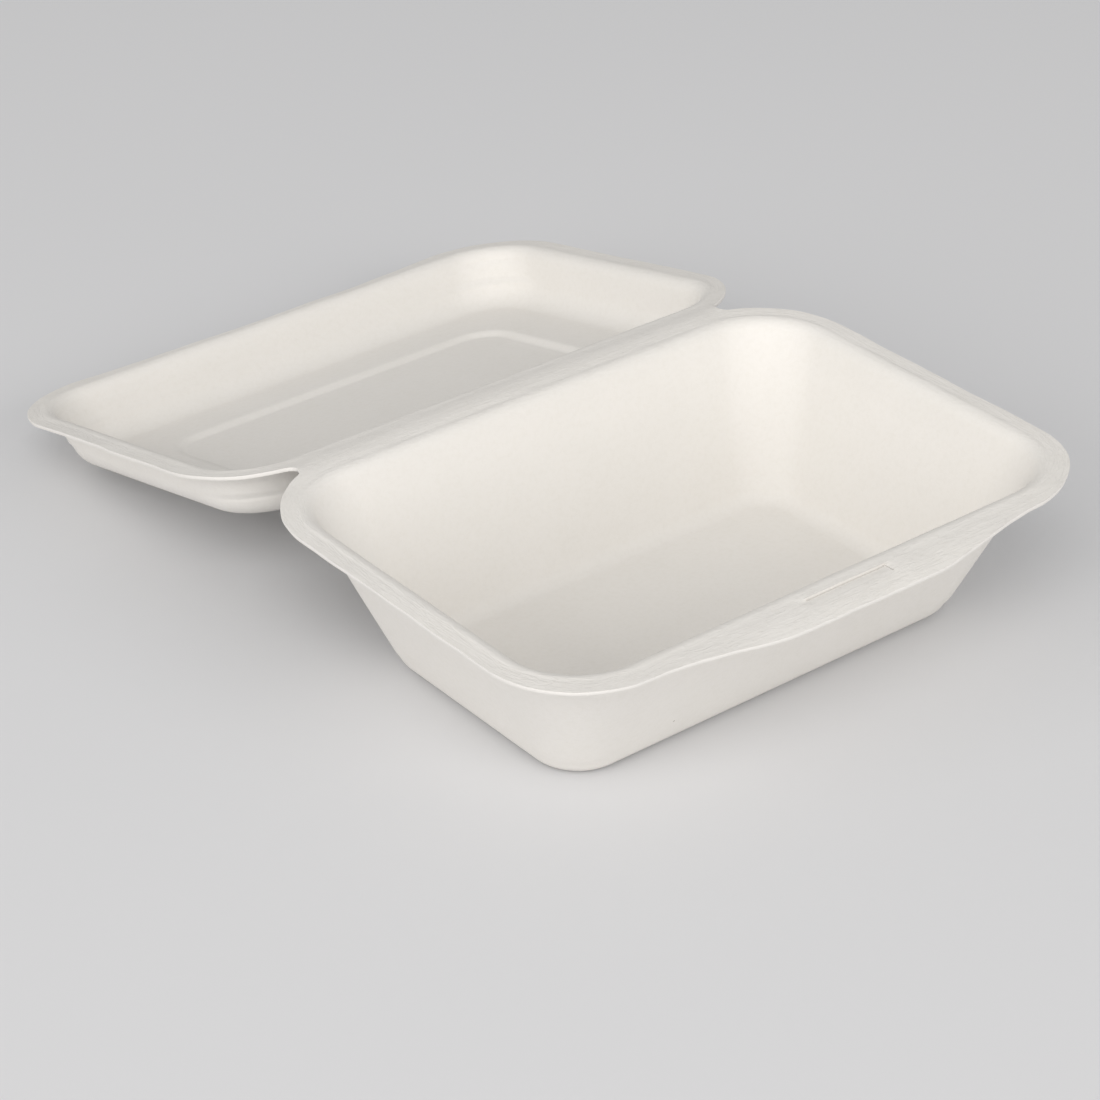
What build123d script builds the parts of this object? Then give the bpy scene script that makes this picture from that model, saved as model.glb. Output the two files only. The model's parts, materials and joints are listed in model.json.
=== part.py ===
from build123d import *
from math import asin, atan2, cos, degrees, hypot, radians, sin, sqrt
import os

# A hinged food box of moulded pulp, lying open.
# Millimetres, +Z up. The origin is the centre of the base tray's underside.
# X runs along the hinge, and the lid opens towards +Y.

# Whole box
rim_length = 182.0
wall = 1.0
lid_droop = 13.0
closed_rim_gap = 0.3
crease_gap = 0.5

# Rim corners and the web between the two rims
hinge_radius = 29.0
notch_radius = 3.6
rim_setback = 1.0

# Base tray
base_depth = 135.0
base_height = 45.5
base_front_radius = 28.0
base_side_flange = 7.8
base_end_flange = 9.0
base_mouth_radius = 20.5
base_floor_length = 132.0
base_floor_depth = 77.5
base_floor_radius = 13.0
base_heel_radius = 9.0

# Lid
lid_depth = 130.0
lid_height = 17.0
lid_far_radius = 26.0
lid_side_flange = 7.9
lid_hinge_flange = 10.0
lid_far_flange = 8.0
lid_mouth_radius = 17.5
lid_floor_length = 161.0
lid_floor_depth = 105.0
lid_floor_radius = 19.5
lid_heel_radius = 8.5
lid_far_dip = 3.0

# Raised panel on top of the closed lid
panel_length = 111.0
panel_depth = 56.0
panel_radius = 9.0
panel_rise = 1.3
panel_step_run = 1.6

# Tongue in the middle of the base's front rim, and the slit in it that the lid's edge tucks into
tongue_reach = 6.2
tongue_length = 40.0
slit_length = 26.0
slit_width = 0.8
slit_offset = 5.9
slit_return = 3.4

# Softened edges of the pulp
lip_radius = 1.6
shoulder_radius = 1.2


crease_y = base_depth / 2
pivot_height = base_height + closed_rim_gap / 2

# Each half is drawn from the crease outwards: x along the hinge, y away from it, z out of the open side.
base_top = Plane(origin=(0, crease_y, base_height), x_dir=(-1, 0, 0), z_dir=(0, 0, 1))
lid_out = (0, sin(radians(lid_droop)), cos(radians(lid_droop)))
lid_hinge_line = Plane(origin=(0, crease_y, pivot_height), x_dir=(1, 0, 0), z_dir=lid_out)
lid_top = lid_hinge_line.offset(-closed_rim_gap / 2)

# Corner centre of a rim at its hinge end, and the notch circle that touches both rims' corners
corner_x = rim_length / 2 - hinge_radius
corner_y = rim_setback + hinge_radius
notch_x = corner_x + sqrt((hinge_radius + notch_radius) ** 2 - corner_y**2)


def hinge_edge_and_side(depth, far_radius):
    """Right half of a rim's outline, from the middle of the crease to the end of the far corner."""
    edge_y = crease_gap / 2
    web_half = notch_x - sqrt(notch_radius**2 - edge_y**2)
    notch_start = 180 - degrees(asin(edge_y / notch_radius))
    touch = degrees(atan2(corner_y, corner_x - notch_x))
    Line((0, edge_y), (web_half, edge_y))
    CenterArc((notch_x, 0), notch_radius, notch_start, touch - notch_start)
    CenterArc((corner_x, corner_y), hinge_radius, touch - 180, 180 - touch)
    Line((rim_length / 2, corner_y), (rim_length / 2, depth - far_radius))
    CenterArc((rim_length / 2 - far_radius, depth - far_radius), far_radius, 0, 90)


def outer_mouth(length, depth, radius, floor_length, height):
    """Outside of a tub's wall at its mouth, from the mouth's inner size and the wall's slope."""
    slope = (length - floor_length) / 2 / height
    run = wall * hypot(1, slope)
    return (length + 2 * run, depth + 2 * run, radius + run), run


def tub_section(top, middle, mouth, floor, height, level, inset=0):
    """Rounded rectangle of a tub at a level above its outer floor, set in for the inner wall."""
    length, depth, radius = (f + (m - f) * level / height for f, m in zip(floor, mouth))
    with BuildSketch(top.offset(level - height)) as section:
        with Locations((0, middle)):
            RectangleRounded(length - 2 * inset, depth - 2 * inset, radius - inset)
    return section.sketch


# Base tray: deep tub with a flat rim, a lock tongue in front and half of the web behind
base_middle = base_depth / 2
base_mouth_length = rim_length - 2 * base_side_flange
base_mouth_depth = base_depth - 2 * base_end_flange
base_floor = (base_floor_length, base_floor_depth, base_floor_radius)
base_mouth, base_run = outer_mouth(
    base_mouth_length, base_mouth_depth, base_mouth_radius, base_floor_length, base_height
)
base_tub = (base_top, base_middle, base_mouth, base_floor, base_height)

with BuildPart() as base_cavity:
    loft((tub_section(*base_tub, wall, base_run), tub_section(*base_tub, base_height, base_run)), ruled=True)
    fillet(base_cavity.edges().group_by(Axis.Z)[0], base_heel_radius - wall)

with BuildPart() as base_tray:
    loft((tub_section(*base_tub, 0), tub_section(*base_tub, base_height - wall)), ruled=True)
    fillet(base_tray.edges().group_by(Axis.Z)[0], base_heel_radius)
    with BuildSketch(base_top) as base_rim:
        with BuildLine():
            hinge_edge_and_side(base_depth, base_front_radius)
            tongue_half = tongue_length / 2
            tongue_front = base_depth + tongue_reach
            shoulder_x = rim_length / 2 - base_front_radius
            Spline((shoulder_x, base_depth), (tongue_half, tongue_front), tangents=((-1, 0), (-1, 0)))
            Line((tongue_half, tongue_front), (0, tongue_front))
            mirror(about=Plane.YZ)
        make_face()
    extrude(amount=-wall)
    add(base_cavity.part, mode=Mode.SUBTRACT)
    rim_faces = base_tray.faces().filter_by(Plane.XY).sort_by(Axis.Z)
    fillet(rim_faces[-1].inner_wires()[0].edges(), lip_radius)
    rim_faces = base_tray.faces().filter_by(Plane.XY).sort_by(Axis.Z)
    fillet(rim_faces[-2].inner_wires()[0].edges(), shoulder_radius)
    with BuildSketch(base_top) as slit:
        slit_y = base_depth - base_end_flange + slit_offset
        with Locations((0, slit_y)):
            Rectangle(slit_length, slit_width)
        with Locations((-slit_length / 2, slit_y)):
            Rectangle(slit_width, slit_return, align=(Align.MIN, Align.MIN))
    extrude(amount=-wall, mode=Mode.SUBTRACT)

base_tray.part.label = "base_tray"


# Lid: shallow tub with the same rim and a stepped panel, hanging a little below level on the web
lid_middle = (lid_hinge_flange + lid_depth - lid_far_flange) / 2
lid_mouth_length = rim_length - 2 * lid_side_flange
lid_mouth_depth = lid_depth - lid_hinge_flange - lid_far_flange
lid_floor = (lid_floor_length, lid_floor_depth, lid_floor_radius)
lid_mouth, lid_run = outer_mouth(
    lid_mouth_length, lid_mouth_depth, lid_mouth_radius, lid_floor_length, lid_height
)
lid_tub = (lid_top, lid_middle, lid_mouth, lid_floor, lid_height)
lid_axis = Axis(lid_top.origin, lid_top.z_dir)


def panel_sections(level):
    """Root and face of the lid's stepped panel, whose root is at a level above the outer floor."""
    sections = []
    for drop, grow in ((0, panel_step_run), (panel_rise, 0)):
        with BuildSketch(lid_top.offset(level - lid_height - drop)) as section:
            with Locations((0, lid_middle)):
                RectangleRounded(panel_length + 2 * grow, panel_depth + 2 * grow, panel_radius + grow)
        sections.append(section.sketch)
    return sections


with BuildPart() as lid_cavity:
    loft((tub_section(*lid_tub, wall, lid_run), tub_section(*lid_tub, lid_height, lid_run)), ruled=True)
    fillet(lid_cavity.edges().group_by(lid_axis)[0], lid_heel_radius - wall)
    loft(panel_sections(wall), ruled=True)

with BuildPart() as lid:
    loft((tub_section(*lid_tub, 0), tub_section(*lid_tub, lid_height - wall)), ruled=True)
    fillet(lid.edges().group_by(lid_axis)[0], lid_heel_radius)
    loft(panel_sections(0), ruled=True)
    with BuildSketch(lid_top) as lid_rim:
        with BuildLine():
            hinge_edge_and_side(lid_depth, lid_far_radius)
            dip_half = rim_length / 2 - lid_far_radius
            dip_radius = (dip_half**2 + lid_far_dip**2) / (2 * lid_far_dip)
            dip_centre = (0, lid_depth - lid_far_dip + dip_radius)
            CenterArc(dip_centre, dip_radius, -90, degrees(asin(dip_half / dip_radius)))
            mirror(about=Plane.YZ)
        make_face()
    extrude(amount=-wall)
    add(lid_cavity.part, mode=Mode.SUBTRACT)
    lid_faces = lid.faces().filter_by(lid_axis).sort_by(lid_axis)
    fillet(lid_faces[-1].inner_wires()[0].edges(), lip_radius)
    lid_faces = lid.faces().filter_by(lid_axis).sort_by(lid_axis)
    fillet(lid_faces[-2].inner_wires()[0].edges(), shoulder_radius)

lid.part.label = "lid"

os.makedirs("parts", exist_ok=True)
export_step(base_tray.part, "parts/base_tray.step")
export_step(lid.part, "parts/lid.step")
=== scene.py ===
import json
from math import atan2, cos, degrees, hypot, pi, radians, sin, sqrt, tan

import bpy
import numpy as np
from mathutils import Matrix, Vector, noise


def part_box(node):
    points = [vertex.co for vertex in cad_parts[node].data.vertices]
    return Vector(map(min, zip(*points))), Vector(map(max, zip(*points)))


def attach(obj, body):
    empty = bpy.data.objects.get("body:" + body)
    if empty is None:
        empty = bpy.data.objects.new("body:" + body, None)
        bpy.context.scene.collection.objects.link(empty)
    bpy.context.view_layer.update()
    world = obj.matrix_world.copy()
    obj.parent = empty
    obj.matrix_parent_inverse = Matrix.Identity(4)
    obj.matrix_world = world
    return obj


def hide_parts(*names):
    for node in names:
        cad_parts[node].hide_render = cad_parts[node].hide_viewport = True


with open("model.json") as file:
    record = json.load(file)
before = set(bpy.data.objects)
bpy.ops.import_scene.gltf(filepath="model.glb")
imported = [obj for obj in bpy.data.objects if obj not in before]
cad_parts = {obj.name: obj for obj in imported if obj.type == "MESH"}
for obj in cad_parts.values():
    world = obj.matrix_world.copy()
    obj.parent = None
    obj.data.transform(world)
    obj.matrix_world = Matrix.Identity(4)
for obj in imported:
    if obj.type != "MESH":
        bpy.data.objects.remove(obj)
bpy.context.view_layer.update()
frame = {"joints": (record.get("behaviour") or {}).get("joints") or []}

# Sizes in metres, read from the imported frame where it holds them
MM = 0.001
hinge = next(j for j in frame["joints"] if j["name"] == "lid_hinge")
AXIS_Y, AXIS_Z = hinge["pos_m"][1], hinge["pos_m"][2]
DROOP = radians(hinge["range_deg"][1] - 180)
RIM_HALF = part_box("base_tray")[1].x
RIM_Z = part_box("base_tray")[1].z
AXIS_LIFT = AXIS_Z - RIM_Z
BASE_REACH = AXIS_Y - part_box("base_tray")[0].y

WALL = 1.0 * MM
HINGE_RADIUS = 29.0 * MM
NOTCH_RADIUS = 3.6 * MM
RIM_SETBACK = 1.0 * MM

BASE = {
    "depth": 135.0 * MM,
    "height": RIM_Z,
    "side_flange": 7.8 * MM,
    "hinge_flange": 9.0 * MM,
    "far_flange": 9.0 * MM,
    "mouth_radius": 20.5 * MM,
    "floor": (132.0 * MM, 77.5 * MM, 13.0 * MM),
    "floor_crown": 0.25 * MM,
    "heel": 6.8 * MM,
    "far_radius": 28.0 * MM,
    "lip": 4.5 * MM,
    "lip_shift": 0.6 * MM,
}
TONGUE_REACH = BASE_REACH - BASE["depth"]
TONGUE_HALF = 20.0 * MM
TONGUE_SHOULDER = 43.0 * MM
TONGUE_DROOP = 0.9 * MM

# The lock slit: its far side is pressed down by a step, and its near side rises by a share of it. Both fade
# out away from the slit and past its ends
SLIT_OFFSET = 5.2 * MM
SLIT_WIDTH = 0.28 * MM
SLIT_HALF = 13.0 * MM
SLIT_STEP = 0.55 * MM
SLIT_NEAR_SHARE = 0.35
SLIT_FADE = 2.6 * MM
SLIT_FADE_REACH = 12 * MM
SLIT_END_REACH = 2 * MM
SLIT_END_FADE = 3 * MM

# The slit's short return at one end
SLIT_RETURN = 3.4 * MM
RETURN_HALF = 0.45 * MM

# The far corner on the return's side is trimmed a little closer, most of all at a place this far in from the
# side and from the far edge
CORNER_TRIM = 0.8 * MM
CORNER_TRIM_FADE = 11 * MM
CORNER_TRIM_FROM_SIDE = 15 * MM
CORNER_TRIM_FROM_EDGE = 3 * MM

LID = {
    "depth": 130.0 * MM,
    "height": 17.0 * MM,
    "side_flange": 7.9 * MM,
    "hinge_flange": 10.0 * MM,
    "far_flange": 8.0 * MM,
    "mouth_radius": 17.5 * MM,
    "floor": (161.0 * MM, 105.0 * MM, 19.5 * MM),
    "floor_crown": 0.2 * MM,
    "heel": 8.5 * MM,
    "far_radius": 26.0 * MM,
    "lip": 4.0 * MM,
    "lip_shift": 0.6 * MM,
}
LID_DIP = 3.0 * MM
PANEL = (111.0 * MM, 56.0 * MM, 9.0 * MM)
PANEL_RISE = 1.3 * MM
PANEL_STEP = 3.4 * MM

# The crease, where the two halves lean towards each other, and its ends at the notches
CREASE_WIDTH = 4.0 * MM
CREASE_DROP = tan(DROOP / 2) * CREASE_WIDTH / 2
CREASE_END_REACH = 1 * MM
CREASE_END_FADE = 4 * MM

# The knuckle about the hinge line: how far it turns, and how far down the edge and round it each ring lies.
# It fades out before the notches, and takes in only points this near the hinge line
KNUCKLE_TURN = radians(58)
KNUCKLE_RINGS = ((0.25, 1.0), (0.5, 0.66), (0.75, 0.33))
KNUCKLE_END_FADE = 1.5 * MM
KNUCKLE_REACH = 2 * MM

# Unevenness of the pulp, each as the width and the height of its bumps
SHEET_BUMPS = (30 * MM, 0.16 * MM)
RIM_BUMPS = (9 * MM, 0.14 * MM)
RIM_WAVES = (45 * MM, 0.35 * MM)
EDGE_WANDER = (14 * MM, 0.22 * MM)
EDGE_NICKS = (4 * MM, 0.10 * MM)
THICKNESS_WIDTH = 20 * MM
THICKNESS_SHARE = 0.12

# Each seed looks this much further into the noise
NOISE_STEP = (7.31, 3.17, 5.73)

# The unevenness grows to its full height over these distances from the crease and above the floor, and that
# of the rim over the first of this many parts of the rim
CALM_AT_CREASE = 6 * MM
CALM_AT_FLOOR = 6 * MM
EDGE_CALM_AT_CREASE = 8 * MM
RIM_RISE = 4

# The rim and its trimmed edge
RIM_SINK = 0.1 * MM
EDGE_TRIM = 0.3 * MM
EDGE_LEAN = 0.08 * MM
EDGE_ROUND = 0.08 * MM
SHARP_ANGLE = radians(62)
RIM_PAINT_FADE = 5 * MM

# Points round each ring: half of the web, a hinge corner, a side, a far corner, and half of the far side,
# which is split where the slit ends
WEB_POINTS = 44
NOTCH_POINTS = 10
CORNER_POINTS = 24
SIDE_POINTS = 52
FAR_CORNER_POINTS = 28
FAR_OUTER_POINTS = 44
FAR_INNER_POINTS = 12

# A ring whose flat far side is shorter than this many slits has the points of the slit closer together
SLIT_ROOM = 1.2

# Rings over a floor, from this share of its size outwards, over a heel and over a lip. A wall has at least
# this many levels, its two ends among them, or one for each step up
FLOOR_RINGS = 16
FLOOR_CENTRE = 0.03
HEEL_RINGS = 16
WALL_LEVELS = 7
WALL_STEP = 1.6 * MM
LIP_RINGS = 14

# Rings over the base's rim, as far as the slit, along its return and beyond, and over the lid's rim
RINGS_TO_SLIT = 4
RINGS_OF_RETURN = 3
RINGS_BEYOND = 7
LID_RIM_RINGS = 11

# Rings over the lid's floor, as shares of the panel's step and of the flat round it
PANEL_STEP_SHARES = (0, 0.12, 0.3, 0.5, 0.7, 0.88, 1)
ROUND_PANEL_SHARES = (0.05, 0.15, 0.3, 0.45, 0.6, 0.75, 0.9)

# The least lengths that a direction is divided by
LEAST_NORMAL = 1e-12
LEAST_SIDE = 1e-9

corner_x = RIM_HALF - HINGE_RADIUS
corner_y = RIM_SETBACK + HINGE_RADIUS
notch_x = corner_x + sqrt((HINGE_RADIUS + NOTCH_RADIUS) ** 2 - corner_y**2)
web_end = notch_x - NOTCH_RADIUS
slit_outer_x = SLIT_HALF + SLIT_WIDTH / 2
slit_inner_x = SLIT_HALF - SLIT_WIDTH / 2


def steps(count):
    """Shares along a stretch of an outline, without its end."""
    return np.arange(count) / count


def arc(centre, radius, start, end, count):
    angle = np.radians(start + (end - start) * steps(count))
    return np.c_[centre[0] + radius * np.cos(angle), centre[1] + radius * np.sin(angle)]


def line(start, end, count):
    return np.array(start) + steps(count)[:, None] * (np.array(end) - np.array(start))


def close_ring(right, far_middle):
    """A whole ring from its right half, which runs from the hinge's middle to the far side's middle."""
    mirrored = right[:0:-1] * (-1, 1)
    return np.vstack((right, [far_middle], mirrored))


def tub_ring(half_x, near, far, radius):
    """A rounded rectangle with the same number of points on each stretch as every other ring."""
    scale = min(1.0, (half_x - radius) / (SLIT_ROOM * slit_outer_x))
    right = np.vstack((
        line((0, near), (half_x - radius, near), WEB_POINTS),
        arc((half_x - radius, near + radius), radius, -90, 0, NOTCH_POINTS + CORNER_POINTS),
        line((half_x, near + radius), (half_x, far - radius), SIDE_POINTS),
        arc((half_x - radius, far - radius), radius, 0, 90, FAR_CORNER_POINTS),
        line((half_x - radius, far), (slit_outer_x * scale, far), FAR_OUTER_POINTS),
        line((slit_outer_x * scale, far), (slit_inner_x * scale, far), 1),
        line((slit_inner_x * scale, far), (0, far), FAR_INNER_POINTS),
    ))
    return close_ring(right, (0, far))


def smooth(share):
    share = np.clip(share, 0, 1)
    return share * share * (3 - 2 * share)


def on_tongue(x):
    """From 1 over the tongue's middle to 0 past its shoulders."""
    return smooth((TONGUE_HALF + TONGUE_SHOULDER - np.abs(x)) / TONGUE_SHOULDER)


def tongue_edge(x):
    return BASE["depth"] + TONGUE_REACH * on_tongue(x)


def dipped_edge(x):
    half = RIM_HALF - LID["far_radius"]
    return LID["depth"] - LID_DIP * (1 - np.minimum(1, np.abs(x) / half) ** 2)


def rim_ring(half, far_edge):
    """A rim's trimmed edge: the crease, the notch at its end, the corners, the sides and the far edge."""
    touch = degrees(atan2(corner_y, corner_x - notch_x))
    far_radius = half["far_radius"]
    flat = half["depth"] - far_radius
    far_x = RIM_HALF - far_radius
    far_line = np.vstack((
        line((far_x, 0), (slit_outer_x, 0), FAR_OUTER_POINTS),
        line((slit_outer_x, 0), (slit_inner_x, 0), 1),
        line((slit_inner_x, 0), (0, 0), FAR_INNER_POINTS),
    ))
    far_line[:, 1] = far_edge(far_line[:, 0])
    right = np.vstack((
        line((0, 0), (web_end, 0), WEB_POINTS),
        arc((notch_x, 0), NOTCH_RADIUS, 180, touch, NOTCH_POINTS),
        arc((corner_x, corner_y), HINGE_RADIUS, touch - 180, 0, CORNER_POINTS),
        line((RIM_HALF, corner_y), (RIM_HALF, flat), SIDE_POINTS),
        arc((far_x, flat), far_radius, 0, 90, FAR_CORNER_POINTS),
        far_line,
    ))
    return close_ring(right, (0, float(far_edge(0.0))))


def raised(ring, level):
    return np.c_[ring, np.full(len(ring), level)]


def tub_profile(half):
    """Inner side of a tub, from the start of its heel to the end of its lip, as (size, level) rings."""
    height, heel, lip, shift = half["height"], half["heel"] - WALL, half["lip"], half["lip_shift"]
    floor_length, floor_depth, floor_radius = half["floor"]
    mouth_half = RIM_HALF - half["side_flange"] - shift
    mouth_near = half["hinge_flange"] + shift
    mouth_far = half["depth"] - half["far_flange"] - shift
    middle = (mouth_near + mouth_far) / 2
    run = WALL * hypot(1, (mouth_half - floor_length / 2) / height)
    mouth_radius = half["mouth_radius"] - shift

    def size_at(level, grow=0.0):
        """Half length, near edge, far edge and corner radius of the inner wall at a level over the floor."""
        share = level / height
        half_x = floor_length / 2 - run + (mouth_half + run - floor_length / 2) * share
        half_y = floor_depth / 2 - run + ((mouth_far - mouth_near) / 2 + run - floor_depth / 2) * share
        radius = floor_radius - run + (mouth_radius + run - floor_radius) * share
        return half_x + grow, middle - half_y - grow, middle + half_y + grow, radius + grow

    lean = atan2(mouth_half + run - floor_length / 2, height)
    rings = []
    back = heel * (1 - sin(lean)) / cos(lean)
    for angle in np.linspace(-pi / 2, -lean, HEEL_RINGS):
        rings.append((size_at(WALL, heel * cos(angle) - back), WALL + heel * (1 + sin(angle)) - height))
    wall_low = WALL + heel * (1 - sin(lean))
    wall_high = height - lip * (1 - sin(lean))
    levels = max(WALL_LEVELS, int((wall_high - wall_low) / WALL_STEP))
    for level in np.linspace(wall_low, wall_high, levels)[1:-1]:
        rings.append((size_at(level), level - height))
    out = lip * (1 - sin(lean)) / cos(lean)
    for angle in np.linspace(pi - lean, pi / 2, LIP_RINGS):
        grow = out + lip * cos(angle)
        rings.append((size_at(height, grow), lip * (sin(angle) - 1)))
    return rings


def floor_rings(first, level, crown):
    """Rings from the middle of a slightly crowned floor out to the given one."""
    half_x, near, far, radius = first
    middle, half_y = (near + far) / 2, (far - near) / 2
    rings = []
    for share in np.linspace(FLOOR_CENTRE, 1, FLOOR_RINGS, endpoint=False):
        size = (half_x * share, middle - half_y * share, middle + half_y * share, radius * share)
        rings.append(raised(tub_ring(*size), level + crown * (1 - share**2)))
    return rings


def between(first, last, share):
    return tuple(a + (b - a) * share for a, b in zip(first, last))


def crumple(points, width, amount, seed):
    """Smooth random offsets, one for each point, from -amount to amount."""
    shift = Vector([seed * step for step in NOISE_STEP])
    values = [noise.noise(Vector(p) / width + shift) for p in points]
    return amount * np.array(values)


def grid_normals(grid):
    along = np.roll(grid, -1, axis=1) - np.roll(grid, 1, axis=1)
    across = np.gradient(grid, axis=0)
    normal = np.cross(across, along)
    return normal / np.maximum(np.linalg.norm(normal, axis=2, keepdims=True), LEAST_NORMAL)


def pressed_sheet(grid, rim_share, seed, trim):
    """The uneven inner side, the way out of the sheet at each point of its edge, and its thickness."""
    flat = grid.reshape(-1, 3)
    shape = grid.shape[:2]
    rim = smooth(rim_share * RIM_RISE)[:, None] * np.ones(shape[1])

    # The whole sheet undulates a little, and its rim more, except where it meets the other half
    away = smooth(grid[:, :, 1] / CALM_AT_CREASE)
    standing = smooth((grid[:, :, 2] - grid[:, :, 2].min()) / CALM_AT_FLOOR)
    calm = crumple(flat, *SHEET_BUMPS, seed).reshape(shape) * standing
    ripple = crumple(flat, *RIM_BUMPS, seed + 1).reshape(shape) * rim
    wave = crumple(flat, *RIM_WAVES, seed + 2).reshape(shape) * smooth(rim_share)[:, None]
    lift = (calm + ripple + wave - RIM_SINK * rim) * away
    top = grid + grid_normals(grid) * lift[:, :, None]

    # The trimmed edge wanders a little in plan, and pulls the outer half of the rim with it
    edge = top[-1]
    side = edge - top[-2]
    side[:, 2] = 0
    side /= np.maximum(np.linalg.norm(side, axis=1, keepdims=True), LEAST_SIDE)
    wander = crumple(edge, *EDGE_WANDER, seed + 3) + crumple(edge, *EDGE_NICKS, seed + 4)
    wander = (wander - EDGE_TRIM) * smooth(edge[:, 1] / EDGE_CALM_AT_CREASE) - trim
    pull = smooth((rim_share - 0.5) * 2)[:, None, None] * (side * wander[:, None])[None, :, :]

    change = crumple(flat, THICKNESS_WIDTH, 1.0, seed + 5).reshape(shape)
    thick = WALL * (1 + THICKNESS_SHARE * change * rim * away)
    return top + pull, side, thick


def finish_edge(top, bottom, side, thick):
    """Shapes the last rings of both sides in place, and gives the rings of the cut edge between them.

    The cut edge has small rounds. At the crease it turns into a knuckle about the hinge line, which hides in
    the other half when the box lies open and covers the fold when it is closed.
    """
    folded = 1 - smooth((np.abs(top[-1, :, 0]) - (web_end - KNUCKLE_END_FADE)) / KNUCKLE_END_FADE)
    folded = folded * (top[-1, :, 1] < KNUCKLE_REACH)
    trimmed = (1 - folded)[:, None]
    straight = top[-1] - EDGE_LEAN * side - thick[:, None] * np.array((0.0, 0.0, 1.0))
    bottom[-1] += (straight - bottom[-1]) * trimmed
    upper = top[-1]
    down = bottom[-1] - upper
    radius = WALL + AXIS_LIFT + CREASE_DROP
    rings = []
    for share, turn in KNUCKLE_RINGS:
        cut = upper + down * share
        angle = KNUCKLE_TURN * turn
        knuckle = upper.copy()
        knuckle[:, 1] = -radius * sin(angle)
        knuckle[:, 2] = AXIS_LIFT - radius * cos(angle)
        rings.append(cut + (knuckle - cut) * folded[:, None])
    inset = EDGE_ROUND * trimmed * side
    top[-1] = top[-1] - inset
    bottom[-1] = bottom[-1] - inset
    return rings


def slit_walls(open_cells, at, size):
    """Faces through the sheet round the cells that the slit opens."""
    point_count = open_cells.shape[1]
    faces = []
    for ring, point in np.argwhere(open_cells):
        cell = [(ring, point), (ring + 1, point), (ring + 1, point + 1), (ring, point + 1)]
        beside = [(ring, point - 1), (ring + 1, point), (ring, point + 1), (ring - 1, point)]
        for index in range(4):
            if open_cells[beside[index][0], beside[index][1] % point_count]:
                continue
            a, b = at(*cell[index]), at(*cell[(index + 1) % 4])
            faces.append((a, b, b + size, a + size))
    return faces


def shell_faces(ring_count, point_count, edge_count, open_cells):
    """Faces of a closed shell. Its points are the inner rings, the outer rings, the rings of its edge, and
    the middles of the two sides."""
    size = ring_count * point_count
    last = ring_count - 1

    def at(ring, point):
        return ring * point_count + point % point_count

    faces = []
    for ring in range(last):
        for point in range(point_count):
            if open_cells[ring, point]:
                continue
            a, b = at(ring, point), at(ring + 1, point)
            c, d = at(ring + 1, point + 1), at(ring, point + 1)
            faces.append((a, b, c, d))
            faces.append((d + size, c + size, b + size, a + size))
    faces += slit_walls(open_cells, at, size)
    starts = [last * point_count] + [2 * size + ring * point_count for ring in range(edge_count)]
    starts.append(size + last * point_count)
    for first, second in zip(starts, starts[1:]):
        for point in range(point_count):
            nxt = (point + 1) % point_count
            faces.append((first + point, second + point, second + nxt, first + nxt))
    centre = 2 * size + edge_count * point_count
    for point in range(point_count):
        nxt = (point + 1) % point_count
        faces.append((centre, point, nxt))
        faces.append((centre + 1, size + nxt, size + point))
    return faces


def add_attributes(mesh, grid, rim_start, edge_count):
    """What the pulp's material reads: where the rim is, which side a point is on, and how far along and
    across the sheet it lies, counted along the rim both ways from the middle of the hinge."""
    ring_count, point_count = grid.shape[:2]
    size = ring_count * point_count
    reach = np.linalg.norm(np.diff(grid, axis=0), axis=2)
    across = np.vstack((np.zeros(point_count), np.cumsum(reach, axis=0)))
    from_lip = across - across[rim_start]
    along = np.linalg.norm(np.diff(np.vstack((grid[-1], grid[-1][:1])), axis=0), axis=1)
    around = along.sum()
    along = np.concatenate(([0], np.cumsum(along)[:-1]))
    along = np.minimum(along, around - along)
    along_all = np.tile(along, ring_count)
    rim = smooth(1 + from_lip / RIM_PAINT_FADE).ravel()
    edge_size = edge_count * point_count
    middles = np.zeros(2)
    layers = {
        "along": (along_all, along_all, np.tile(along, edge_count), middles),
        "across": (from_lip.ravel(), from_lip.ravel(), np.tile(from_lip[-1], edge_count), middles),
        "rim": (rim, rim, np.ones(edge_size), middles),
        "outside": (np.zeros(size), np.ones(size), np.full(edge_size, 0.5), (0, 1)),
    }
    for label, values in layers.items():
        attribute = mesh.attributes.new(label, "FLOAT", "POINT")
        attribute.data.foreach_set("value", np.concatenate(values).astype(np.float32))


def build_shell(name, rings, rim_start, to_world, seed, slit=None):
    """A closed pulp shell from its inner rings: the outer side is one wall away from the inner one."""
    grid = np.array(rings)
    ring_count, point_count = grid.shape[:2]
    rim_share = np.clip((np.arange(ring_count) - rim_start) / (ring_count - 1 - rim_start), 0, 1)
    trim = 0.0 if slit is None else slit["trim"]
    top, side, thick = pressed_sheet(grid, rim_share, seed, trim)
    bottom = top - grid_normals(top) * thick[:, :, None]
    open_cells = np.zeros((ring_count - 1, point_count), bool)
    if slit is not None:
        top[:, :, 2] += slit["lift"]
        bottom[:, :, 2] += slit["lift"]
        open_cells = slit["open"]
    edge_rings = finish_edge(top, bottom, side, thick[-1])
    middles = [top[0].mean(axis=0), bottom[0].mean(axis=0)]
    points = np.vstack((top.reshape(-1, 3), bottom.reshape(-1, 3), *edge_rings, middles))
    faces = shell_faces(ring_count, point_count, len(edge_rings), open_cells)

    mesh = bpy.data.meshes.new(name)
    mesh.from_pydata(to_world(points).tolist(), [], faces)
    mesh.validate()
    mesh.update()
    shell = bpy.data.objects.new(name, mesh)
    bpy.context.scene.collection.objects.link(shell)
    mesh.polygons.foreach_set("use_smooth", np.ones(len(mesh.polygons), bool))
    mesh.set_sharp_from_angle(angle=SHARP_ANGLE)
    add_attributes(mesh, grid, rim_start, len(edge_rings))
    return shell


def base_to_world(points):
    return np.c_[-points[:, 0], AXIS_Y - points[:, 1], RIM_Z + points[:, 2]]


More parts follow.
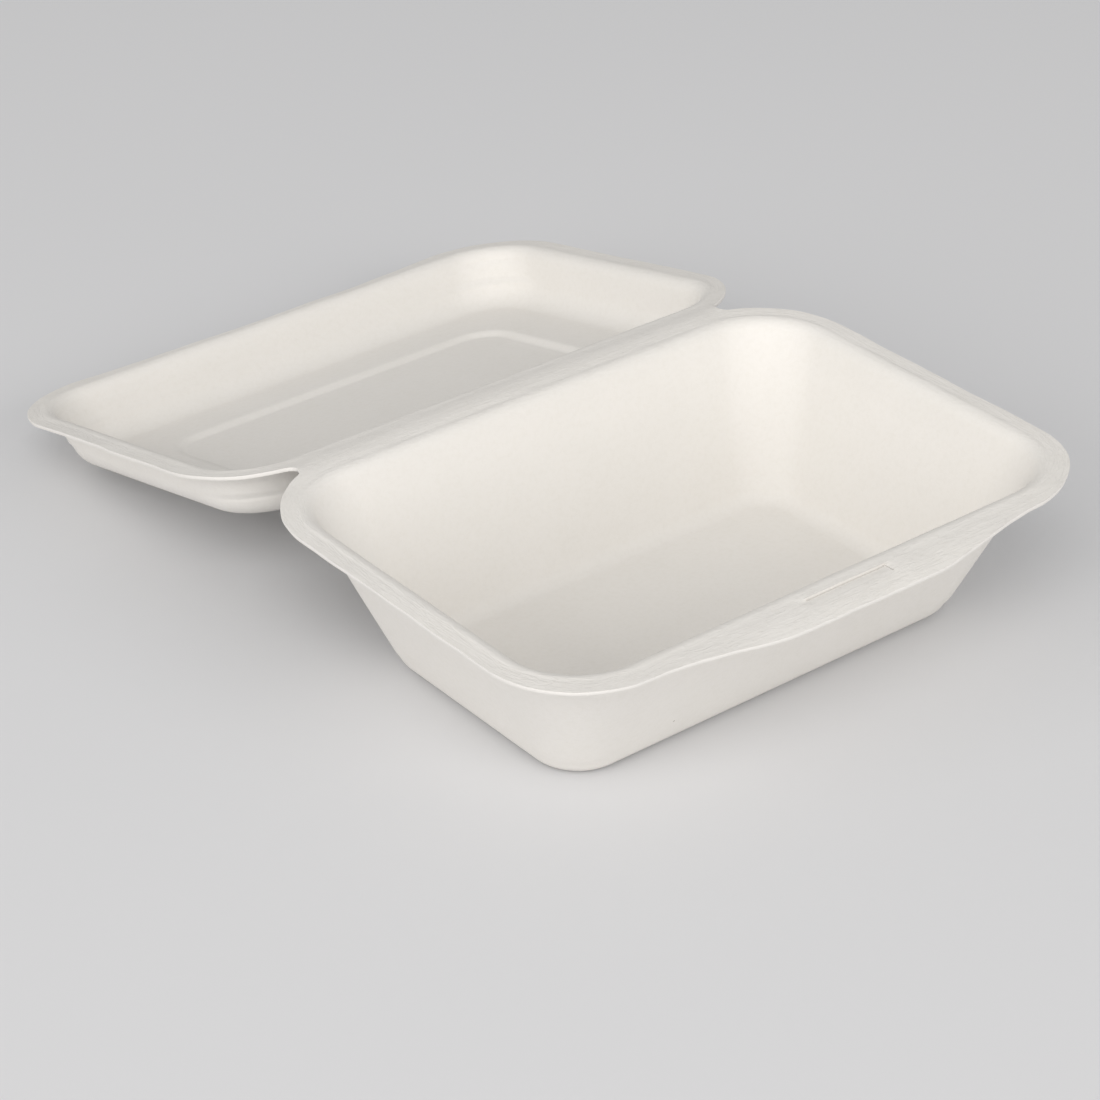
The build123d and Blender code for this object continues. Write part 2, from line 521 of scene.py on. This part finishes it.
def lid_to_world(points):
    out = points[:, 1]
    up = points[:, 2] - AXIS_LIFT
    return np.c_[
        points[:, 0],
        AXIS_Y + out * cos(DROOP) + up * sin(DROOP),
        AXIS_Z - out * sin(DROOP) + up * cos(DROOP),
    ]


def bend_near_crease(points):
    """Each half leans towards the other over the last few millimetres, so that the two meet in a curve."""
    share = np.clip(1 - points[:, 1] / CREASE_WIDTH, 0, 1)
    ends = smooth((web_end + CREASE_END_REACH - np.abs(points[:, 0])) / CREASE_END_FADE)
    bent = points.copy()
    bent[:, 2] -= CREASE_DROP * ends * share**2
    return bent


def slit_lift(grid, slit_line):
    """How far each point is lifted by the slit's step and by the droop of the tongue."""
    x, out = grid[:, :, 0], grid[:, :, 1]
    within = smooth((SLIT_HALF + SLIT_END_REACH - np.abs(x)) / SLIT_END_FADE)
    fade = np.exp(-np.abs(out - slit_line) / SLIT_FADE)
    lift = within * fade * np.where(out > slit_line, -SLIT_STEP, SLIT_NEAR_SHARE * SLIT_STEP)
    beyond = np.clip((out - slit_line) / (BASE_REACH - slit_line), 0, 1)
    lift = lift - TONGUE_DROOP * beyond**2 * on_tongue(x)
    lift[out < slit_line - SLIT_FADE_REACH] = 0
    return lift


def slit_cells(grid, slit_ring):
    """Which cells between the rings the slit and its return open."""
    x, out = grid[:, :, 0], grid[:, :, 1]
    mid_x = (x[:-1] + np.roll(x, -1, axis=1)[:-1]) / 2
    far_side = out[:-1] > BASE["depth"] / 2
    in_return = (mid_x < 0) & (np.abs(np.abs(mid_x) - SLIT_HALF) < RETURN_HALF) & far_side
    open_cells = np.zeros(mid_x.shape, bool)
    rows = slice(slit_ring, slit_ring + 1 + RINGS_OF_RETURN)
    open_cells[rows] = in_return[rows]
    open_cells[slit_ring] |= (np.abs(mid_x[slit_ring]) < SLIT_HALF) & far_side[slit_ring]
    return open_cells


def corner_trim(edge):
    """How much closer each point of the edge is trimmed, round the far corner on the return's side."""
    from_side = edge[:, 0] + RIM_HALF - CORNER_TRIM_FROM_SIDE
    from_edge = edge[:, 1] - BASE["depth"] + CORNER_TRIM_FROM_EDGE
    return CORNER_TRIM * np.exp(-((np.hypot(from_side, from_edge) / CORNER_TRIM_FADE) ** 2))


def base_rings():
    profile = tub_profile(BASE)
    rings = floor_rings(profile[0][0], WALL - BASE["height"], BASE["floor_crown"])
    rings += [raised(tub_ring(*size), level) for size, level in profile]
    rim_start = len(rings) - 1
    lip = rings[-1]
    outline = raised(rim_ring(BASE, tongue_edge), 0.0)
    slit_line = BASE["depth"] - BASE["far_flange"] + SLIT_OFFSET
    width = BASE_REACH - lip[:, 1].max()
    from_lip = slit_line - lip[:, 1].max()
    near, far = [(from_lip + s * SLIT_WIDTH / 2) / width for s in (-1, 1)]
    return_end = far + (SLIT_RETURN - SLIT_WIDTH) / width
    shares = [*np.linspace(0, near, RINGS_TO_SLIT + 1)[1:], far]
    shares += list(np.linspace(far, return_end, RINGS_OF_RETURN + 1)[1:])
    shares += list(np.linspace(return_end, 1, RINGS_BEYOND + 1)[1:])
    rings += [lip + (outline - lip) * share for share in shares]
    rings = [bend_near_crease(r) for r in rings]

    grid = np.array(rings)
    open_cells = slit_cells(grid, rim_start + RINGS_TO_SLIT)
    slit = {"lift": slit_lift(grid, slit_line), "open": open_cells, "trim": corner_trim(grid[-1])}
    return rings, rim_start, slit


def lid_rings():
    profile = tub_profile(LID)
    level = WALL - LID["height"]
    first = profile[0][0]
    middle = (first[1] + first[2]) / 2
    length, depth, radius = PANEL
    face = (length / 2, middle - depth / 2, middle + depth / 2, radius)
    root = (face[0] + PANEL_STEP, face[1] - PANEL_STEP, face[2] + PANEL_STEP, radius + PANEL_STEP)
    rings = floor_rings(face, level - PANEL_RISE, LID["floor_crown"])
    for share in PANEL_STEP_SHARES:
        rise = PANEL_RISE * smooth(np.array(share))
        rings.append(raised(tub_ring(*between(face, root, share)), level - PANEL_RISE + float(rise)))
    for share in ROUND_PANEL_SHARES:
        rings.append(raised(tub_ring(*between(root, first, share)), level))
    rings += [raised(tub_ring(*size), lift) for size, lift in profile]
    rim_start = len(rings) - 1
    lip = rings[-1]
    outline = raised(rim_ring(LID, dipped_edge), 0.0)
    rings += [lip + (outline - lip) * share for share in np.linspace(0, 1, LID_RIM_RINGS + 1)[1:]]
    return [bend_near_crease(r) for r in rings], rim_start


def nodes_of(material):
    material.use_nodes = True
    tree = material.node_tree
    tree.nodes.clear()
    output = tree.nodes.new("ShaderNodeOutputMaterial")
    shader = tree.nodes.new("ShaderNodeBsdfPrincipled")
    tree.links.new(shader.outputs["BSDF"], output.inputs["Surface"])
    return tree, shader


def attribute_value(tree, name):
    node = tree.nodes.new("ShaderNodeAttribute")
    node.attribute_name = name
    return node.outputs["Fac"]


def math_node(tree, operation, first, second=None, third=None):
    node = tree.nodes.new("ShaderNodeMath")
    node.operation = operation
    for index, value in enumerate((first, second, third)):
        if value is None:
            continue
        if isinstance(value, (int, float)):
            node.inputs[index].default_value = value
        else:
            tree.links.new(value, node.inputs[index])
    return node.outputs[0]


def noise_node(tree, vector, scale, detail, roughness, distortion=0.0):
    node = tree.nodes.new("ShaderNodeTexNoise")
    node.inputs["Scale"].default_value = scale
    node.inputs["Detail"].default_value = detail
    node.inputs["Roughness"].default_value = roughness
    node.inputs["Distortion"].default_value = distortion
    tree.links.new(vector, node.inputs["Vector"])
    return node.outputs["Fac"]


def ramp_node(tree, value, stops):
    node = tree.nodes.new("ShaderNodeValToRGB")
    tree.links.new(value, node.inputs["Fac"])
    ramp = node.color_ramp
    while len(ramp.elements) < len(stops):
        ramp.elements.new(0.5)
    for element, (place, colour) in zip(ramp.elements, stops):
        element.position = place
        element.color = colour
    return node.outputs["Color"]


def mix_colours(tree, share, first, second, blend="MIX"):
    node = tree.nodes.new("ShaderNodeMix")
    node.data_type = "RGBA"
    node.blend_type = blend
    colour_sockets = [s for s in node.inputs if s.type == "RGBA"]
    for socket, value in ((node.inputs[0], share), (colour_sockets[0], first), (colour_sockets[1], second)):
        if isinstance(value, (int, float, tuple)):
            socket.default_value = value
        else:
            tree.links.new(value, socket)
    return [s for s in node.outputs if s.type == "RGBA"][0]


# Colours of the pulp: two tones of its surface, its cut edge, and specks of bark
PALE_PULP = (0.815, 0.791, 0.757, 1)
WARM_PULP = (0.79, 0.762, 0.722, 1)
CUT_PULP = (0.775, 0.75, 0.715, 1)
BARK = (0.20, 0.17, 0.14, 1)
WHITE = (1, 1, 1, 1)

# Shades that the mottling and the fibres multiply the colour by, each with its place in the noise
MOTTLED_SHADES = ((0.3, (0.985, 0.985, 0.98, 1)), (0.7, WHITE))
FIBRE_SHADES = ((0.32, (0.975, 0.972, 0.965, 1)), (0.55, WHITE))

# Noises, each as repeats in a metre, detail and roughness
CLOUDS = (14.0, 2.0, 0.5)
MOTTLING = (60.0, 4.0, 0.55)
FIBRES = (700.0, 5.0, 0.7)
GRAIN = (2600.0, 3.0, 0.6)

# Noises that follow the rim: repeats in a metre along it, across it and from side to side of the box, and
# for each noise a factor on these, its detail, roughness and distortion
REPEATS_ALONG, REPEATS_ACROSS, REPEATS_SIDEWAYS = 150.0, 850.0, 60.0
PRESS_LINES = (1.0, 4.0, 0.6, 0.6)
HAIRS = (0.62, 2.0, 0.5, 1.2)
HAIR_NARROWING = 9.0
HAIR_SHARPNESS = 3.0

# Specks: cells in a metre, a speck's radius in cells, how rare they are and how strong
SPECK_CELLS = 55.0
SPECK_RADIUS = 0.018
SPECK_RARITY = 0.86
SPECK_STRENGTH = 0.55

# Roughness inside, what the outside, the rim and the mottling add to it, and the level of the shine
INSIDE_ROUGHNESS = 0.50
OUTSIDE_ROUGHER = 0.10
RIM_ROUGHER = 0.08
MOTTLING_ROUGHER = 0.08
SPECULAR = 0.32

# Shares of each pattern in the relief, which is this deep and this strong
GRAIN_RELIEF = 0.10
FIBRE_RELIEF = 0.16
PRESS_LINE_RELIEF = 0.03
PRESS_LINE_RELIEF_ON_RIM = 0.8
HAIR_RELIEF = 0.28
MOTTLING_RELIEF = 0.2
RELIEF_DEPTH = 0.4 * MM
RELIEF_STRENGTH = 0.5


def sheet_place(tree, place):
    """Coordinates that run along the sheet's rings, so that fibres and press lines follow the rim."""
    sheet = tree.nodes.new("ShaderNodeCombineXYZ")
    along = attribute_value(tree, "along")
    across = attribute_value(tree, "across")
    sides = tree.nodes.new("ShaderNodeSeparateXYZ")
    tree.links.new(place, sides.inputs["Vector"])
    tree.links.new(math_node(tree, "MULTIPLY", along, REPEATS_ALONG), sheet.inputs["X"])
    tree.links.new(math_node(tree, "MULTIPLY", across, REPEATS_ACROSS), sheet.inputs["Y"])
    tree.links.new(math_node(tree, "MULTIPLY", sides.outputs["X"], REPEATS_SIDEWAYS), sheet.inputs["Z"])
    return sheet.outputs["Vector"]


def fine_hairs(tree, sheet):
    """Thin raised lines, where a stretched noise crosses its middle value."""
    hairs = math_node(tree, "SUBTRACT", noise_node(tree, sheet, *HAIRS), 0.5)
    hairs = math_node(tree, "MULTIPLY", math_node(tree, "ABSOLUTE", hairs), HAIR_NARROWING)
    hairs = math_node(tree, "SUBTRACT", 1.0, hairs)
    return math_node(tree, "POWER", math_node(tree, "MAXIMUM", hairs, 0.0), HAIR_SHARPNESS)


def bark_specks(tree, place):
    """A few dark specks: small rounds in some cells of a random pattern."""
    specks = tree.nodes.new("ShaderNodeTexVoronoi")
    specks.inputs["Scale"].default_value = SPECK_CELLS
    tree.links.new(place, specks.inputs["Vector"])
    size = math_node(tree, "LESS_THAN", specks.outputs["Distance"], SPECK_RADIUS)
    chosen = tree.nodes.new("ShaderNodeSeparateColor")
    tree.links.new(specks.outputs["Color"], chosen.inputs["Color"])
    rare = math_node(tree, "GREATER_THAN", chosen.outputs["Red"], SPECK_RARITY)
    return math_node(tree, "MULTIPLY", math_node(tree, "MULTIPLY", size, rare), SPECK_STRENGTH)


def pulp_colour(tree, place, mottle, fibre, outside):
    """Two tones with slightly darker mottling and fibres, specks, and a darker cut edge."""
    colour = mix_colours(tree, noise_node(tree, place, *CLOUDS), PALE_PULP, WARM_PULP)
    for pattern, shades in ((mottle, MOTTLED_SHADES), (fibre, FIBRE_SHADES)):
        colour = mix_colours(tree, 1.0, colour, ramp_node(tree, pattern, shades), "MULTIPLY")
    colour = mix_colours(tree, bark_specks(tree, place), colour, BARK)
    cut = math_node(tree, "ABSOLUTE", math_node(tree, "SUBTRACT", outside, 0.5))
    cut = math_node(tree, "MULTIPLY_ADD", cut, -2.0, 1.0)
    return mix_colours(tree, cut, colour, CUT_PULP)


def pulp_roughness(tree, mottle, rim, outside):
    """The pressed inside is a little smoother than the outside and the rim."""
    rough = math_node(tree, "MULTIPLY_ADD", outside, OUTSIDE_ROUGHER, INSIDE_ROUGHNESS)
    rough = math_node(tree, "MULTIPLY_ADD", rim, RIM_ROUGHER, rough)
    return math_node(tree, "MULTIPLY_ADD", mottle, MOTTLING_ROUGHER, rough)


def pulp_relief(tree, place, mottle, fibre, rim):
    """Grain, fibres, mottling and faint press lines everywhere, and strong press lines and hairs on the
    rim."""
    sheet = sheet_place(tree, place)
    streaks = noise_node(tree, sheet, *PRESS_LINES)
    hairs = fine_hairs(tree, sheet)
    height = math_node(tree, "MULTIPLY", noise_node(tree, place, *GRAIN), GRAIN_RELIEF)
    height = math_node(tree, "MULTIPLY_ADD", fibre, FIBRE_RELIEF, height)
    streak_relief = math_node(tree, "MULTIPLY_ADD", rim, PRESS_LINE_RELIEF_ON_RIM, PRESS_LINE_RELIEF)
    height = math_node(tree, "MULTIPLY_ADD", streaks, streak_relief, height)
    rim_hairs = math_node(tree, "MULTIPLY", hairs, rim)
    height = math_node(tree, "MULTIPLY_ADD", rim_hairs, HAIR_RELIEF, height)
    height = math_node(tree, "MULTIPLY_ADD", mottle, MOTTLING_RELIEF, height)
    bump = tree.nodes.new("ShaderNodeBump")
    bump.inputs["Strength"].default_value = RELIEF_STRENGTH
    bump.inputs["Distance"].default_value = RELIEF_DEPTH
    tree.links.new(height, bump.inputs["Height"])
    return bump.outputs["Normal"]


def pulp_material():
    """Pressed sugarcane pulp: warm off-white, faintly mottled, with fine fibres that lie along the rim."""
    material = bpy.data.materials.new("pulp")
    tree, shader = nodes_of(material)
    place = tree.nodes.new("ShaderNodeTexCoord").outputs["Object"]
    rim = attribute_value(tree, "rim")
    outside = attribute_value(tree, "outside")
    mottle = noise_node(tree, place, *MOTTLING)
    fibre = noise_node(tree, place, *FIBRES)
    tree.links.new(pulp_colour(tree, place, mottle, fibre, outside), shader.inputs["Base Color"])
    tree.links.new(pulp_roughness(tree, mottle, rim, outside), shader.inputs["Roughness"])
    tree.links.new(pulp_relief(tree, place, mottle, fibre, rim), shader.inputs["Normal"])
    shader.inputs["Specular IOR Level"].default_value = SPECULAR
    return material


# The studio: a plain floor, lamps that aim near the object's middle, and an even white surrounding. Each
# lamp has a name, a place, a width and a strength in watts
FLOOR_SIZE = 12.0
FLOOR_COLOUR = (0.70, 0.70, 0.71, 1)
FLOOR_ROUGHNESS = 0.9
FLOOR_SPECULAR = 0.1
LAMPS = (
    ("left", (-3.0, 0.0, 1.17), 2.4, 39),
    ("front", (0.2, -3.05, 1.15), 2.4, 41),
    ("high", (-1.0, -1.0, 1.6), 1.2, 12.6),
)
LAMP_AIM = (0, 0.05, 0.03)
LAMP_COLOUR = (1.0, 0.99, 0.976)
LAMP_HEIGHT_SHARE = 0.8
SURROUNDING_STRENGTH = 0.475


def floor_material():
    material = bpy.data.materials.new("studio_floor")
    shader = nodes_of(material)[1]
    shader.inputs["Base Color"].default_value = FLOOR_COLOUR
    shader.inputs["Roughness"].default_value = FLOOR_ROUGHNESS
    shader.inputs["Specular IOR Level"].default_value = FLOOR_SPECULAR
    return material


def add_floor():
    bpy.ops.mesh.primitive_plane_add(size=FLOOR_SIZE, location=(0, 0, 0))
    floor = bpy.context.active_object
    floor.name = "studio_floor"
    floor.data.materials.append(floor_material())


def add_lamp(name, place, width, watts):
    data = bpy.data.lights.new(name, "AREA")
    data.shape = "RECTANGLE"
    data.size = width
    data.size_y = width * LAMP_HEIGHT_SHARE
    data.energy = watts
    data.color = LAMP_COLOUR
    lamp = bpy.data.objects.new(name, data)
    lamp.location = place
    lamp.rotation_mode = "QUATERNION"
    lamp.rotation_quaternion = (Vector(LAMP_AIM) - Vector(place)).to_track_quat("-Z", "Y")
    bpy.context.scene.collection.objects.link(lamp)


def add_lights():
    for lamp in LAMPS:
        add_lamp(*lamp)
    world = bpy.data.worlds.new("studio")
    bpy.context.scene.world = world
    world.use_nodes = True
    background = world.node_tree.nodes["Background"]
    background.inputs["Color"].default_value = WHITE
    background.inputs["Strength"].default_value = SURROUNDING_STRENGTH


# The camera stands where the photograph was taken from
CAMERA_PLACE = (-0.48019, -0.57199, 0.47392)
CAMERA_FORWARD = (0.521911, 0.679912, -0.515101)
CAMERA_ROLL = radians(-1.0912)
FOCAL_PIXELS = 3370.6
IMAGE_PIXELS = 1100.0
SENSOR_WIDTH = 36.0
NEAREST, FARTHEST = 0.01, 50


def add_camera():
    data = bpy.data.cameras.new("camera")
    camera = bpy.data.objects.new("camera", data)
    bpy.context.scene.collection.objects.link(camera)
    data.sensor_width = SENSOR_WIDTH
    data.lens = FOCAL_PIXELS / IMAGE_PIXELS * SENSOR_WIDTH
    camera.location = CAMERA_PLACE
    camera.rotation_mode = "QUATERNION"
    turn = Vector(CAMERA_FORWARD).to_track_quat("-Z", "Y")
    camera.rotation_quaternion = turn @ Matrix.Rotation(CAMERA_ROLL, 3, "Z").to_quaternion()
    data.clip_start = NEAREST
    data.clip_end = FARTHEST
    bpy.context.scene.camera = camera


BASE_SEED, LID_SEED = 1, 11

pulp = pulp_material()
rings, rim_start, slit = base_rings()
base_shell = build_shell("base_shell", rings, rim_start, base_to_world, BASE_SEED, slit)
base_shell.data.materials.append(pulp)
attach(base_shell, "base")
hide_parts("base_tray")

rings, rim_start = lid_rings()
lid_shell = build_shell("lid_shell", rings, rim_start, lid_to_world, LID_SEED)
lid_shell.data.materials.append(pulp)
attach(lid_shell, "lid")
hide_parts("lid")

add_floor()
add_lights()
add_camera()
bpy.context.scene.view_settings.view_transform = "Standard"
